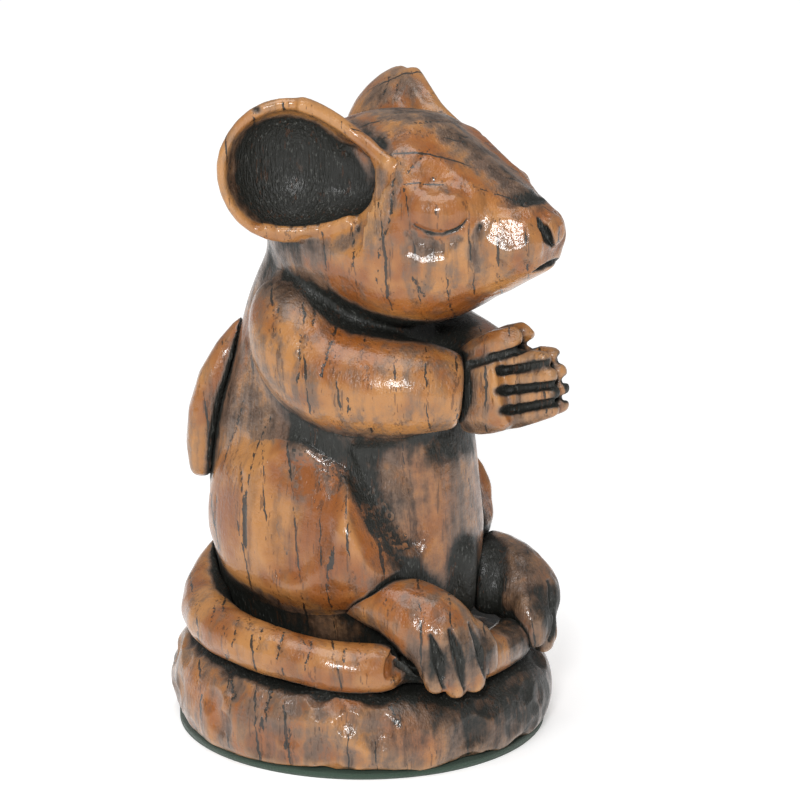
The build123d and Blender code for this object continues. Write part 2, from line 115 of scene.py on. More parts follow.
# A gouge cut's depth, as shares of the deepest.
GOUGE_BITES = (0.4, 1.0)
# The steps in which a line of pixels is followed, in pixels.
PATH_STEP = 1.2
# How thin a tapered line is at its ends, as a share of its middle.
TIP = 0.2
# Ink lies full within the first share of a groove's width and is gone at the second.
INK_CORE, INK_REACH = 0.4, 1.5
# Rubbed ink fades out as the surface turns away from where its line was seen.
TURNED_AWAY = (-0.15, 0.2)
CRACK_WIDTH, CRACK_DEPTH = 0.5 * MM, 0.08 * MM
MIRROR = np.array((-1, 1, 1))
SIDES = (np.ones(3), MIRROR)


def select_only(*objects):
    """Selects these objects and nothing else."""
    bpy.ops.object.select_all(action="DESELECT")
    for item in objects:
        item.select_set(True)
    bpy.context.view_layer.objects.active = objects[0]


def copy_of_nodes(name, nodes):
    """One object with the merged solids of these nodes."""
    copies = []
    for node in nodes:
        copy = bpy.data.objects.new(name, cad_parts[node].data.copy())
        bpy.context.scene.collection.objects.link(copy)
        copies.append(copy)
    select_only(*copies)
    if len(copies) > 1:
        bpy.ops.object.join()
    block = bpy.context.object
    block.data.materials.clear()
    bpy.ops.object.mode_set(mode="EDIT")
    bpy.ops.mesh.select_all(action="SELECT")
    bpy.ops.mesh.remove_doubles(threshold=MERGE_GAP)
    bpy.ops.object.mode_set(mode="OBJECT")
    return block


def apply_modifier(piece, kind, **settings):
    """Adds a modifier with these settings and applies it."""
    select_only(piece)
    modifier = piece.modifiers.new(kind.title(), kind)
    for key, value in settings.items():
        setattr(modifier, key, value)
    bpy.ops.object.modifier_apply(modifier=modifier.name)


def remesh(piece, voxel):
    """Skins the piece afresh in even squares this large."""
    apply_modifier(piece, "REMESH", mode="VOXEL", voxel_size=voxel, adaptivity=0.0)


def points_of(mesh):
    """The vertices' places as an array."""
    values = np.empty(len(mesh.vertices) * 3, np.float32)
    mesh.vertices.foreach_get("co", values)
    return values.reshape(-1, 3).astype(np.float64)


def normals_of(mesh):
    """The vertices' normals as an array."""
    values = np.empty(len(mesh.vertices) * 3, np.float32)
    mesh.vertex_normals.foreach_get("vector", values)
    return values.reshape(-1, 3).astype(np.float64)


def place_points(mesh, points):
    """Moves the vertices to these places."""
    mesh.vertices.foreach_set("co", points.astype(np.float32).ravel())
    mesh.update()


def edges_of(mesh):
    """The vertex pairs of the mesh's edges."""
    values = np.empty(len(mesh.edges) * 2, np.int32)
    mesh.edges.foreach_get("vertices", values)
    return values.reshape(-1, 2)


def relaxed(values, edges, rounds, weights):
    """The values after rounds of easing each to the middle of its neighbours, as its weight lets it."""
    counts = np.bincount(edges.ravel(), minlength=len(values))[:, None]
    for _ in range(rounds):
        total = np.empty_like(values)
        for axis in range(values.shape[1]):
            total[:, axis] = np.bincount(edges[:, 0], values[edges[:, 1], axis], len(values))
            total[:, axis] += np.bincount(edges[:, 1], values[edges[:, 0], axis], len(values))
        values = values + (total / counts - values) * EASE * weights[:, None]
    return values


def falloff(distance, inner, outer):
    """1 within the inner distance, 0 past the outer one and smooth between them."""
    share = np.clip((outer - distance) / (outer - inner), 0, 1)
    return share * share * (3 - 2 * share)


def tree_of(mesh):
    """A tree of the mesh's faces to cast rays at."""
    faces = [tuple(face.vertices) for face in mesh.polygons]
    return BVHTree.FromPolygons(points_of(mesh).tolist(), faces)


def wobble(piece, size, amount):
    """Swells and sinks the surface gently, in waves about this size."""
    mesh = piece.data
    points, normals = points_of(mesh), normals_of(mesh)
    lift = np.array([noise.noise(Vector(point) / size) for point in points])
    place_points(mesh, points + normals * (lift * amount)[:, None])


def gouge(piece, seed, count, bite, radius):
    """Takes this many shallow cuts out of the surface with a round gouge, none deeper than the bite."""
    mesh = piece.data
    points, normals = points_of(mesh), normals_of(mesh)
    picks = np.random.default_rng(seed)
    for spot in picks.choice(len(points), count):
        depth = bite * picks.uniform(*GOUGE_BITES)
        reach = np.sqrt(4 * radius * depth)
        centre = points[spot] + normals[spot] * (radius - depth)
        near = np.flatnonzero(np.abs(points - points[spot]).max(axis=1) < reach)
        away = points[near] - centre
        distance = np.linalg.norm(away, axis=1)
        push = np.clip(radius - distance, 0, 2 * depth)
        push *= (normals[near] @ normals[spot] > 0.5) * falloff(
            np.linalg.norm(points[near] - points[spot], axis=1), 0.7 * reach, reach)
        points[near] += away / distance[:, None] * push[:, None]
    place_points(mesh, points)


def seen_path(tree, pixels):
    """The line on a tree's surface that the camera sees through a line of pixels."""
    places = []
    for (x0, y0), (x1, y1) in zip(pixels, pixels[1:]):
        count = max(int(np.hypot(x1 - x0, y1 - y0) / PATH_STEP), 1)
        for i in range(count):
            share = i / count
            pixel = (x0 + (x1 - x0) * share, y0 + (y1 - y0) * share)
            hit = tree.ray_cast(*pixel_ray(pixel))[0]
            if hit is not None:
                places.append(tuple(hit))
    return np.array(places)


def gaps_to(points, path, reach, taper=False):
    """The vertices within reach of a path, and how far each is from it. Ends taper by weighing more."""
    low, high = path.min(axis=0) - reach, path.max(axis=0) + reach
    near = np.flatnonzero(((points > low) & (points < high)).all(axis=1))
    gaps = np.full(len(near), reach)
    along = (np.arange(len(path)) + 0.5) / len(path)
    weights = np.clip(4 * along * (1 - along), TIP, 1) ** 0.5 if taper else np.ones(len(path))
    for place, weight in zip(path, weights):
        gaps = np.minimum(gaps, np.linalg.norm(points[near] - place, axis=1) / weight)
    return near[gaps < reach], gaps[gaps < reach]


def values_of(mesh, name):
    """A number kept at each vertex, from nothing at first."""
    layer = mesh.attributes.get(name) or mesh.attributes.new(name, "FLOAT", "POINT")
    values = np.empty(len(mesh.vertices), np.float32)
    layer.data.foreach_get("value", values)
    return values


def keep_values(mesh, name, values):
    """Stores a number at each vertex."""
    mesh.attributes[name].data.foreach_set("value", values.astype(np.float32))


def carve(piece, tree, pixels, width, depth, ink=0.0, both=True, soft=1.0, taper=False):
    """Cuts a groove along a line of pixels and darkens it by the given amount, or lightens it if that is
    under 0. A depth under 0 raises a ridge.

    The softer it is, the farther the darkening reaches. Both cuts the same on the other side of the
    mouse.
    """
    mesh = piece.data
    points, normals = points_of(mesh), normals_of(mesh)
    # Along most lines the amount is dark wax in the cut; along some it is painted shade, and along
    # others a painted highlight.
    values = values_of(mesh, "ink")
    seen = seen_path(tree, pixels)
    for side in SIDES[:1 + both]:
        near, gaps = gaps_to(points, seen * side, max(width, width * INK_REACH * soft), taper)
        points[near] -= normals[near] * depth * falloff(gaps, 0, width)[:, None]
        values[near] += ink * falloff(gaps, INK_CORE * width * soft, INK_REACH * soft * width)
    place_points(mesh, points)
    keep_values(mesh, "ink", values)


def rub(piece, tree, pixels, width, ink, both=True, layer="ink"):
    """Darkens the surface along a line of pixels, or lightens it if the amount is under 0: dark wax and
    painted shade, wear and painted highlights.
    """
    mesh = piece.data
    points, normals = points_of(mesh), normals_of(mesh)
    values = values_of(mesh, layer)
    seen, toward = seen_path(tree, pixels), np.array(camera_axes()[0])
    for side in SIDES[:1 + both]:
        near, gaps = gaps_to(points, seen * side, width)
        facing = falloff(-normals[near] @ (toward * side), *TURNED_AWAY)
        values[near] += ink * falloff(gaps, 0, width) * facing
    keep_values(mesh, layer, values)


def rub_all(piece, tree, lines, both=True, layer="ink"):
    """Rubs along each line: its pixels, its width in millimetres and its darkening, under 0 a
    lightening.
    """
    for pixels, width, ink in lines:
        rub(piece, tree, pixels, width * MM, ink, both, layer)


def split(piece, tree, lines, both=True, width=0.75):
    """Opens cracks along lines of pixels. The finish makes their edges ragged."""
    for pixels in lines:
        carve(piece, tree, pixels, CRACK_WIDTH, CRACK_DEPTH, both=both)
        rub(piece, tree, pixels, width * MM, 1.0, both=both, layer="split")


def shave(piece, tree, pixel, way, depth, radius, both=True):
    """Planes a flat where the camera sees this pixel, facing this way (or as the surface does)."""
    mesh = piece.data
    points, normals = points_of(mesh), normals_of(mesh)
    hit, normal = tree.ray_cast(*pixel_ray(pixel))[:2]
    for side in SIDES[:1 + both]:
        spot, facing = np.array(hit) * side, np.array(Vector(way or normal).normalized()) * side
        near = np.flatnonzero(np.abs(points - spot).max(axis=1) < radius)
        rise = np.clip((points[near] - spot) @ facing + depth, 0, 2 * depth)
        fade = falloff(np.linalg.norm(points[near] - spot, axis=1), 0.75 * radius, radius)
        fade *= falloff(1 - normals[near] @ facing, 0.3, 0.6)
        points[near] -= facing * (rise * fade)[:, None]
    place_points(mesh, points)


# The pieces. Lines are in pixels of the picture, as the camera sees them.

# The way a facet faces to catch the window's light.
GLINT_WAY = (-0.82, -0.456, 0.35)

HAUNCH_CRACKS = (
    [(243, 402), (236, 429), (228, 446), (222, 470)], [(216, 496), (215, 528)],
    [(270, 418), (257, 445), (251, 464), (246, 496), (244, 543)], [(241, 470), (243, 502), (246, 553)],
    [(286, 462), (278, 472), (273, 499), (271, 559)], [(307, 474), (302, 492)],
    [(294, 512), (292, 564), (294, 583)], [(329, 516), (329, 543), (327, 591)], [(333, 543), (332, 569)],
)
CHEEK_CRACKS = (
    [(394, 174), (391, 215), (384, 234)], [(380, 239), (376, 285)], [(353, 239), (353, 268)],
    [(411, 251), (411, 266)], [(413, 278), (424, 297)], [(425, 191), (422, 215)],
    [(433, 145), (406, 174)], [(509, 225), (510, 247)],
)
BROW_CRACKS = (
    [(395, 113), (420, 111), (442, 111)], [(413, 123), (440, 121), (468, 123)],
    [(447, 138), (475, 137), (498, 147)], [(467, 167), (491, 173), (522, 181)],
    [(389, 77), (383, 96)], [(399, 82), (394, 94)],
)
TAIL_CRACKS = (
    [(216, 600), (211, 622)], [(239, 617), (235, 632), (231, 648)], [(262, 630), (257, 650)],
    [(284, 632), (280, 644), (277, 664)], [(311, 642), (309, 655), (304, 671)], [(345, 648), (344, 662)],
)
ARM_CRACKS = (
    [(316, 302), (313, 326)], [(301, 334), (300, 360), (297, 384)], [(335, 330), (328, 352), (321, 377)],
    [(279, 308), (276, 318)], [(347, 398), (350, 418)],
)
PLINTH_CRACKS = (
    [(232, 674), (234, 700)], [(274, 678), (266, 712), (260, 734)], [(390, 706), (398, 726)],
    [(288, 730), (286, 748)],
)

# The scene's parts that are skinned as one, and the nodes that each stands for.
FUSED = {
    "torso": ("torso",), "head": ("head", "right_ear", "left_ear"), "right_arm": ("right_arm",),
    "left_arm": ("left_arm",), "right_haunch": ("right_haunch",), "left_haunch": ("left_haunch",),
}
BODY_VOXEL = 0.3 * MM
BODY_EASING = 50
# The face lies before and above these, and it and the ears keep most of their edges.
FACE_BACK, FACE_BOTTOM, FACE_EDGE = -8 * MM, 62 * MM, 5 * MM
EAR_REACH = (9.5 * MM, 11.5 * MM)
FACE_KEPT, EAR_KEPT = 0.9, 0.85


def node_middle(node):
    """The middle of a node's box."""
    low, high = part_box(node)
    return (np.array(low) + np.array(high)) / 2


# The rolls of the ears' rims: their line, half their thickness and how far they lie behind it.
UPPER_ROLL = ((298, 103), (320, 108), (345, 123), (370, 147), (392, 165))
LOWER_ROLL = ((260, 228), (284, 233), (308, 233), (330, 228), (352, 220))
EAR_ROLLS = (
    (UPPER_ROLL, 1.05 * MM, 0.0),
    (UPPER_ROLL, 1.05 * MM, 1.5 * MM),
    (LOWER_ROLL, 0.95 * MM, 0.0),
)


def add_ear_rolls(block):
    """Carries the rims of the ears on down to the skull, over the bowl and under it."""
    tree = tree_of(block.data)
    rolls = []
    for pixels, half, behind in EAR_ROLLS:
        places = np.array([tree.ray_cast(*pixel_ray(pixel))[0] for pixel in pixels])
        places -= np.array(camera_axes()[0]) * behind
        for side in SIDES:
            bpy.ops.curve.primitive_nurbs_path_add()
            roll = bpy.context.object
            for point, place in zip(roll.data.splines[0].points, places * side):
                point.co = (*place, 1)
            roll.data.bevel_depth = half
            roll.data.use_fill_caps = True
            bpy.ops.object.convert(target="MESH")
            rolls.append(bpy.context.object)
    select_only(block, *rolls)
    bpy.ops.object.join()


def make_body():
    """The torso, head, arms, haunches and ears, skinned as one so that they run into one another."""
    block = copy_of_nodes("body", sum(FUSED.values(), ()))
    add_ear_rolls(block)
    remesh(block, BODY_VOXEL)
    mesh = block.data
    points, edges = points_of(mesh), edges_of(mesh)
    behind_face = np.maximum(points[:, 1] - FACE_BACK, FACE_BOTTOM - points[:, 2])
    kept = FACE_KEPT * falloff(behind_face, 0, FACE_EDGE)
    for node in ("right_ear", "left_ear"):
        from_ear = np.linalg.norm(points - node_middle(node), axis=1)
        kept = np.maximum(kept, EAR_KEPT * falloff(from_ear, *EAR_REACH))
    place_points(mesh, relaxed(points, edges, BODY_EASING, 1 - kept))
    wobble(block, size=9 * MM, amount=0.35 * MM)
    refine_face(block)
    gouge(block, seed=3, count=500, bite=0.10 * MM, radius=9 * MM)
    tree = tree_of(block.data)
    shape_haunches(block, tree)
    shape_ears(block, tree)
    shape_face(block, tree)
    stain_body(block, tree)
    settle(block, 3)
    split(block, tree, HAUNCH_CRACKS + CHEEK_CRACKS + ARM_CRACKS)
    split(block, tree, BROW_CRACKS, both=False)
    return block


def settle(piece, rounds):
    """Eases the whole surface a little after it is cut."""
    points = points_of(piece.data)
    weights = np.full(len(points), 0.5)
    place_points(piece.data, relaxed(points, edges_of(piece.data), rounds, weights))


# Where the right eye, and the nostril with the mouth, lie and how far they reach, in millimetres.
FINE_SPOTS = ((-9.8, -18.0, 72.5, 7.0), (-1.8, -28.5, 70.0, 5.5))


def refine_face(block):
    """Halves the squares round the eyes, the nostrils and the mouth, on both sides."""
    mesh = block.data
    points = points_of(mesh)
    corners = np.empty(len(mesh.loops), np.int32)
    mesh.loops.foreach_get("vertex_index", corners)
    middles = points[corners.reshape(-1, 4)].mean(axis=1)
    middles[:, 0] = -np.abs(middles[:, 0])
    near = np.zeros(len(middles), bool)
    for *spot, reach in FINE_SPOTS:
        near |= np.linalg.norm(middles - np.array(spot) * MM, axis=1) < reach * MM
    select_only(block)
    mesh.polygons.foreach_set("select", near)
    bpy.ops.object.mode_set(mode="EDIT")
    bpy.ops.mesh.select_mode(type="FACE")
    bpy.ops.mesh.subdivide(number_cuts=1, smoothness=0.5)
    bpy.ops.object.mode_set(mode="OBJECT")


def shape_haunches(block, tree):
    """Planes the haunch in two faces that meet in a ridge, and deepens the crease by the belly."""
    front, side, ridge = (-0.20, -0.88, 0.42), (-0.95, -0.25, 0.14), (329, 498)
    shave(block, tree, (360, 515), front, 0.9 * MM, 12 * MM)
    shave(block, tree, (262, 500), side, 0.8 * MM, 13 * MM)
    # The ridge is lightened along its length as a painted highlight.
    carve(block, tree, [(306, 450), (327, 496), (336, 520), (354, 547), (342, 578)],
          2.4 * MM, -0.45 * MM, -0.15)
    shave(block, tree, ridge, GLINT_WAY, 0.35 * MM, 2.4 * MM)
    carve(block, tree, [(309, 442), (345, 466), (375, 502), (398, 540), (408, 568)],
          1.8 * MM, 0.55 * MM, 0.4, soft=1.4)
    # The far haunch bulges past the belly, darkened with painted shade on the side turned from the
    # light.
    carve(block, tree, [(466, 556), (464, 606)], 3.2 * MM, -1.6 * MM, 0.9, both=False)


# Lines to rub: pixels, width in millimetres, and ink. The first go before the bowls are smoothed.
BOWL_INK = (
    ([(250, 150), (290, 140), (330, 170), (330, 208), (300, 216), (262, 205), (250, 180), (285, 175)],
     6, 1.2),
    ([(300, 200), (330, 205), (350, 195)], 5, 1.0),
    ([(285, 212), (318, 216), (335, 212)], 3.5, 1.0),
)
BOWL_EDGES = (
    ([(258, 128), (286, 122), (316, 130), (342, 152), (352, 172)], 2.6, 0.9),
    ([(362, 160), (367, 185), (362, 204)], 3.0, -0.4),
    ([(285, 101), (318, 106), (345, 124), (372, 148), (392, 162)], 1.8, -0.5),
    ([(240, 222), (266, 232), (292, 236), (320, 230), (352, 222)], 1.6, -0.9),
)
# Cuts in the rim: pixels, width and depth in millimetres, and ink.
RIM_CUTS = tuple(([(x, 222), (x, 231)], 0.3, 0.25, 0.5) for x in (262, 276, 291, 305, 318, 331, 342)) + (
    ([(252, 104), (258, 112)], 0.6, 0.3, 0.9),
    ([(352, 118), (368, 131), (384, 147), (393, 157)], 1.2, 0.35, 0.5),
    ([(357, 214), (358, 232)], 0.6, 0.3, 0.5),
)


def shape_ears(block, tree):
    """Smooths and blackens the bowl, and nicks the rim."""
    rub_all(block, tree, BOWL_INK)
    smooth_inked(block, 60)
    rub_all(block, tree, BOWL_EDGES)
    for pixels, width, depth, ink in RIM_CUTS:
        carve(block, tree, pixels, width * MM, depth * MM, ink, taper=True)


def smooth_inked(piece, rounds):
    """Eases the surface where the ink lies thickest."""
    mesh = piece.data
    weights = np.clip(values_of(mesh, "ink") - 0.4, 0, 1)
    place_points(mesh, relaxed(points_of(mesh), edges_of(mesh), rounds, weights))


# Flats of the head: the pixel, the way it faces, and its depth and reach in millimetres.
HEAD_FLATS = (
    ((455, 150), None, 0.5, 12),
    ((400, 250), None, 0.3, 9),
    ((496, 235), GLINT_WAY, 0.32, 4.5),
    ((425, 260), GLINT_WAY, 0.2, 3.2),
)
# Cuts of the face: pixels, width and depth in millimetres, ink, how soft it is, and tapered or not.
FACE_CUTS = (
    # The swell of the lid, its edge and the fold under it.
    ([(422, 208), (438, 212), (456, 205)], 4.2, -0.9, -0.25, 1.0, False),
    ([(409, 218), (416, 226), (428, 232), (442, 234), (456, 229), (467, 217)],
     0.42, 0.5, 1.0, 0.8, False),
    ([(408, 233), (424, 244), (440, 246), (460, 238)], 1.5, 0.25, 0.38, 1.0, True),
    # The fold of the cheek, the brow and the bridge of the nose.
    ([(480, 226), (475, 242), (474, 256), (478, 272)], 1.0, 0.35, 0.35, 1.0, True),
    ([(396, 152), (424, 150), (456, 168), (478, 196)], 2.4, -0.35, -0.1, 1.0, False),
    ([(500, 204), (526, 199), (548, 198)], 1.3, 0.3, 0.3, 1.0, True),
    # The nostril and the mouth.
    ([(539, 219), (543, 228), (548, 238), (554, 248)], 0.9, 0.9, 0.9, 0.8, True),
    ([(534, 272), (547, 266), (558, 260), (567, 249)], 0.6, 0.7, 1.0, 0.8, True),
)


def shape_face(block, tree):
    """Cuts the shut lid, the nostril, the mouth and the folds of the muzzle."""
    for pixel, way, depth, reach in HEAD_FLATS:
        shave(block, tree, pixel, way, depth * MM, reach * MM)
    for pixels, width, depth, ink, soft, taper in FACE_CUTS:
        carve(block, tree, pixels, width * MM, depth * MM, ink, soft=soft, taper=taper)


# Dark wax, painted shade and painted highlights on the body: pixels, width in millimetres, and darkening
# (under 0 where a painted highlight lightens it).
BODY_WAX_AND_PAINTED_LIGHT = (
    # Painted shade in the crease by the belly and on the lap under the arm; the belly; painted shadow on
    # the neck under the head and on the shoulder under the ear.
    ([(358, 480), (386, 530), (380, 575)], 6, 0.42),
    ([(300, 436), (350, 440), (430, 446), (470, 440)], 4, 0.4),
    ([(400, 480), (440, 520), (450, 570)], 9, 0.20),
    ([(262, 265), (300, 285), (330, 300)], 6, 0.50),
    ([(270, 248), (310, 250), (345, 244)], 3, 0.35),
    # The crown, the cheek behind the eye, and painted shade in the hollows round the eye.
    ([(400, 108), (450, 130), (500, 165), (535, 195)], 7, 0.27),
    ([(376, 180), (382, 215), (372, 250)], 4, 0.22),
    ([(405, 160), (398, 200)], 2.5, 0.25),
    ([(470, 208), (476, 226)], 2.4, 0.22),
    ([(420, 190), (446, 192)], 2.5, 0.30),
    ([(420, 262), (450, 280)], 4, 0.14),
    # The back, and painted highlights on the haunch and the arm.
    ([(232, 400), (262, 420), (300, 425)], 6, 0.25),
    ([(232, 470), (262, 520), (300, 540)], 8, -0.40),
    ([(300, 345), (370, 385)], 5, -0.15),
)
FAR_EAR_INK = (([(375, 98), (395, 82), (412, 92)], 4, 0.35),)
# Amber stain: pixels, width in millimetres, and strength.
BODY_GLOWS = (
    ([(408, 135), (432, 138)], 3.0, 0.8), ([(438, 152), (462, 180)], 3.5, 0.9),
    ([(470, 188), (500, 198)], 3.0, 0.7), ([(520, 212), (556, 220)], 3.5, 0.9),
    ([(430, 205), (455, 208)], 2.5, 0.35), ([(405, 308), (460, 315)], 3.5, 0.8),
    ([(330, 330), (372, 350)], 5.0, 0.8), ([(348, 476), (374, 530), (382, 560)], 5.0, 1.2),
    ([(410, 540), (450, 560)], 6.0, 0.8), ([(425, 465), (440, 510)], 6.0, 0.8),
    ([(300, 560), (330, 585)], 4.0, 0.4),
)


def stain_body(block, tree):
    """Rubs dark wax and painted shade into the body, lightens it with painted highlights, and adds amber
    stain.
    """
    rub_all(block, tree, BODY_WAX_AND_PAINTED_LIGHT)
    rub_all(block, tree, FAR_EAR_INK, both=False)
    rub_all(block, tree, BODY_GLOWS, layer="glow")


# How the other pieces are skinned: the squares' size in millimetres, and the rounds of easing.
SKINS = {"plinth": (0.4, 24), "tail": (0.3, 16), "right_hand": (0.18, 5), "right_foot": (0.25, 14),
         "right_wing": (0.35, 8)}


def make_piece(node):
    """One node skinned afresh, with its corners eased."""
    voxel, rounds = SKINS[node]
    piece = copy_of_nodes(node + "_piece", [node])
    remesh(piece, voxel * MM)
    mesh = piece.data
    points = points_of(mesh)
    place_points(mesh, relaxed(points, edges_of(mesh), rounds, np.ones(len(points))))
    return piece


# How near a solid a skin's vertex is looked for, and how far the edges of a part are turned in.
OWNER_REACH = 2 * MM
CAP_DEPTH = 1.5 * MM


def split_by_node(block, groups):
    """Parts the fused body where one group of solids gives way to the next, and closes each part."""
    mesh = block.data
    points = points_of(mesh)
    flow = mesh.attributes.new("flow", "FLOAT_VECTOR", "POINT")
    flow.data.foreach_set("vector", normals_of(mesh).astype(np.float32).ravel())
    distance = np.full((len(groups), len(points)), 1.0)
    for row, nodes in enumerate(groups.values()):
        for node in nodes:
            low, high = (np.array(corner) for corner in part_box(node))
            tree = tree_of(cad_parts[node].data)
            near = ((points > low - OWNER_REACH) & (points < high + OWNER_REACH)).all(axis=1)
            for i in np.flatnonzero(near):
                distance[row, i] = min(distance[row, i], tree.find_nearest(points[i])[3])
    counts = np.array([face.loop_total for face in mesh.polygons])
    corners = np.empty(counts.sum(), np.int32)
    mesh.loops.foreach_get("vertex_index", corners)
    starts = np.cumsum(counts) - counts
    owner = np.add.reduceat(distance[:, corners], starts, axis=1).argmin(axis=0)
    parts = {}
    for row, name in enumerate(groups):
        part = bpy.data.objects.new(name + "_carving", mesh.copy())
        bpy.context.scene.collection.objects.link(part)
        part.data.polygons.foreach_set("select", owner != row)
        part["skin_faces"] = int((owner == row).sum())
        close_part(part)
        parts[name] = part
    bpy.data.objects.remove(block)
    return parts


def close_part(part):
    """Deletes the selected faces, turns the open edge in under the skin and caps it there."""
    select_only(part)
    bpy.ops.object.mode_set(mode="EDIT")
    bpy.ops.mesh.select_mode(type="FACE")
    bpy.ops.mesh.delete(type="FACE")
    bpy.ops.object.mode_set(mode="OBJECT")
    kept = len(part.data.vertices)
    bpy.ops.object.mode_set(mode="EDIT")
    bpy.ops.mesh.select_mode(type="EDGE")
    bpy.ops.mesh.select_non_manifold(
        extend=False, use_wire=False, use_boundary=True, use_multi_face=False,
        use_non_contiguous=False, use_verts=False)
    bpy.ops.mesh.extrude_edges_move()
    bpy.ops.object.mode_set(mode="OBJECT")
    points = points_of(part.data)
    points[kept:] -= flow_of(part.data)[kept:] * CAP_DEPTH
    place_points(part.data, points)
    bpy.ops.object.mode_set(mode="EDIT")
    bpy.ops.mesh.select_mode(type="FACE")
    bpy.ops.mesh.select_all(action="SELECT")
    bpy.ops.mesh.fill_holes(sides=0)
    bpy.ops.object.mode_set(mode="OBJECT")


def flow_of(mesh):
    """The whole body's normals, kept at each vertex of its parts."""
    values = np.empty(len(mesh.vertices) * 3, np.float32)
    mesh.attributes["flow"].data.foreach_get("vector", values)
    return values.reshape(-1, 3)


def keep_flow(piece):
    """Shades a part's skin as the whole body's was before it was parted, and its caps flat."""
    mesh = piece.data
    corners = np.empty(len(mesh.loops), np.int32)
    mesh.loops.foreach_get("vertex_index", corners)
    shading = flow_of(mesh)[corners]
    for face in mesh.polygons[piece["skin_faces"]:]:
        shading[face.loop_start:face.loop_start + face.loop_total] = face.normal
    mesh.normals_split_custom_set(shading.tolist())
    mesh.attributes.remove(mesh.attributes["flow"])


# How enclosed each place is.

CELL, GRID_MARGIN = 0.6 * MM, 9 * MM
# A ray goes on this far past what it hit.
RAY_STEP = 0.01 * MM
# How widely the wood near by and at large is looked at.
RECESSES = (("nook", 0.8 * MM), ("hollow", 2.8 * MM))
# The share of wood round a place on a flat, and how much more there is at the bottom of a recess.
FLAT_SHARE, RECESS_SHARE = 0.31, 0.45


def fill_grid(trees, low, cell, shape):
    """Which cells of an upright grid are inside the pieces."""
    filled = np.zeros(shape, bool)
    top = low[2] + cell * shape[2]
    heights = low[2] + cell * (np.arange(shape[2]) + 0.5)
    down = Vector((0, 0, -1))
    for tree, (near, far) in trees:
        first = [max(int((near[axis] - low[axis]) / cell), 0) for axis in (0, 1)]
        last = [min(int((far[axis] - low[axis]) / cell) + 1, shape[axis]) for axis in (0, 1)]
        for i in range(first[0], last[0]):
            for j in range(first[1], last[1]):
                start = Vector((low[0] + cell * (i + 0.5), low[1] + cell * (j + 0.5), top))
                crossings = []
                hit = tree.ray_cast(start, down)
                while hit[0] is not None:
                    crossings.append(hit[0].z)
                    hit = tree.ray_cast(hit[0] + down * RAY_STEP, down)
                for upper, lower in zip(crossings[::2], crossings[1::2]):
                    filled[i, j] |= (heights < upper) & (heights > lower)
    return filled


def blurred(grid, spread):
    """The grid blurred by a bell curve this many cells wide."""
    spectrum = np.fft.rfftn(grid)
    for axis, size in enumerate(grid.shape):
        rates = np.fft.rfftfreq(size) if axis == 2 else np.fft.fftfreq(size)
        shape = [1, 1, 1]
        shape[axis] = len(rates)
        spectrum = spectrum * np.exp(-2 * (np.pi * spread * rates) ** 2).reshape(shape)
    return np.fft.irfftn(spectrum, grid.shape)


def sampled(grid, places):
    """The grid's values at places given in cells, blended from the eight cells round each."""
    base = np.floor(places).astype(int)
    base = np.clip(base, 0, np.array(grid.shape) - 2)
    part = places - base
    total = np.zeros(len(places))
    for corner in np.ndindex(2, 2, 2):
        share = np.prod(np.where(corner, part, 1 - part), axis=1)
        total += share * grid[tuple((base + corner).T)]
    return total


def mark_recesses(pieces):
    """Gives every vertex of the pieces how far it lies in a recess, near by and at large."""
    low = np.array(cad_box[0]) - GRID_MARGIN
    shape = tuple(np.ceil((np.array(cad_box[1]) + GRID_MARGIN - low) / CELL).astype(int))
    trees = []
    for piece in pieces:
        points = points_of(piece.data)
        trees.append((tree_of(piece.data), (points.min(axis=0), points.max(axis=0))))
    filled = fill_grid(trees, low, CELL, shape).astype(np.float32)
    for name, spread in RECESSES:
        grid = blurred(filled, spread / CELL)
        for piece in pieces:
            points, normals = points_of(piece.data), normals_of(piece.data)
            places = (points + normals * spread * 0.5 - low) / CELL - 0.5
            values_of(piece.data, name)
            keep_values(piece.data, name, (sampled(grid, places) - FLAT_SHARE) / RECESS_SHARE)


# Finishes.

